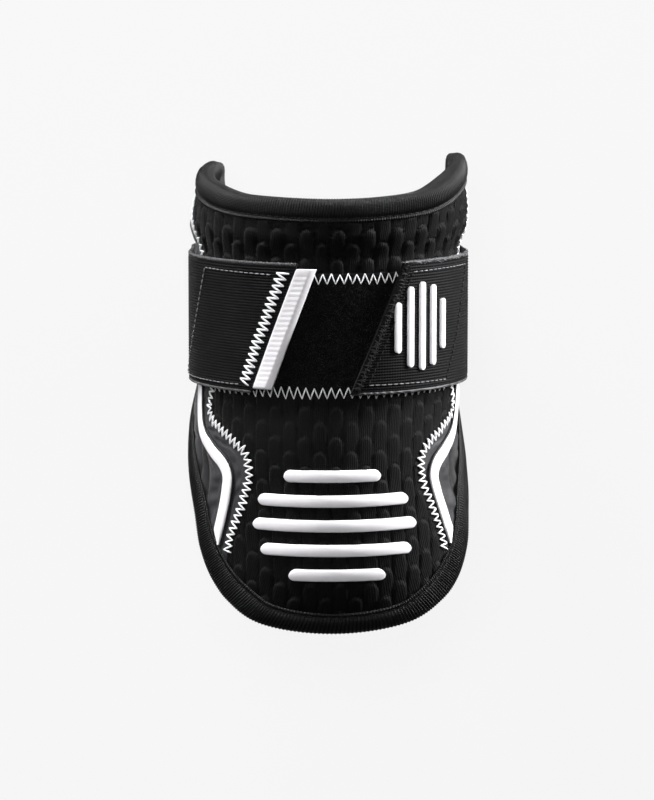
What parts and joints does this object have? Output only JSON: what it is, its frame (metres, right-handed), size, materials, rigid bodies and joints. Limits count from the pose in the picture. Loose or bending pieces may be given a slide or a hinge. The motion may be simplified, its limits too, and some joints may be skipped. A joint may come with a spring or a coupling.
{
  "type": "baseball elbow guard",
  "caption": "Padded elbow guard that wraps most of the way round an arm, with bound edges, raised horns at the upper rear and one fastened elastic strap. It lies face up on its strap.",
  "frame": {"origin": "middle of the strap's flat back run, on the face that the guard lies on", "axes": "+X across the arm to the right as seen from the front, +Y up the arm from the rounded tongue to the horns, +Z out of the guard's face"},
  "size_m": [0.1101, 0.1812, 0.0972],
  "materials": {
    "knit": "matte knit with raised rounded scales",
    "wing": "matte cloth-faced foam rubber",
    "lining": "brushed lining",
    "binding": "ribbed elastic tape",
    "webbing": "ribbed elastic webbing",
    "fastener": "hook and loop",
    "rubber": "satin moulded rubber"
  },
  "bodies": {
    "root": {"edge_binding": "binding", "face_bar_1": "rubber", "face_bar_2": "rubber", "face_bar_3": "rubber", "face_bar_4": "rubber", "face_bar_5": "rubber", "face_cover": "knit", "hook_patch_left": "fastener", "hook_patch_right": "fastener", "inner_pad": "lining", "loop_panel": "fastener", "pull_tab": "rubber", "strap_band": "webbing", "strap_bar_1": "rubber", "strap_bar_2": "rubber", "strap_bar_3": "rubber", "strap_bar_4": "rubber", "strap_bar_5": "rubber", "wing_cover_left": "wing", "wing_cover_right": "wing", "wing_stripe_left": "rubber", "wing_stripe_right": "rubber"}
  },
  "joints": []
}
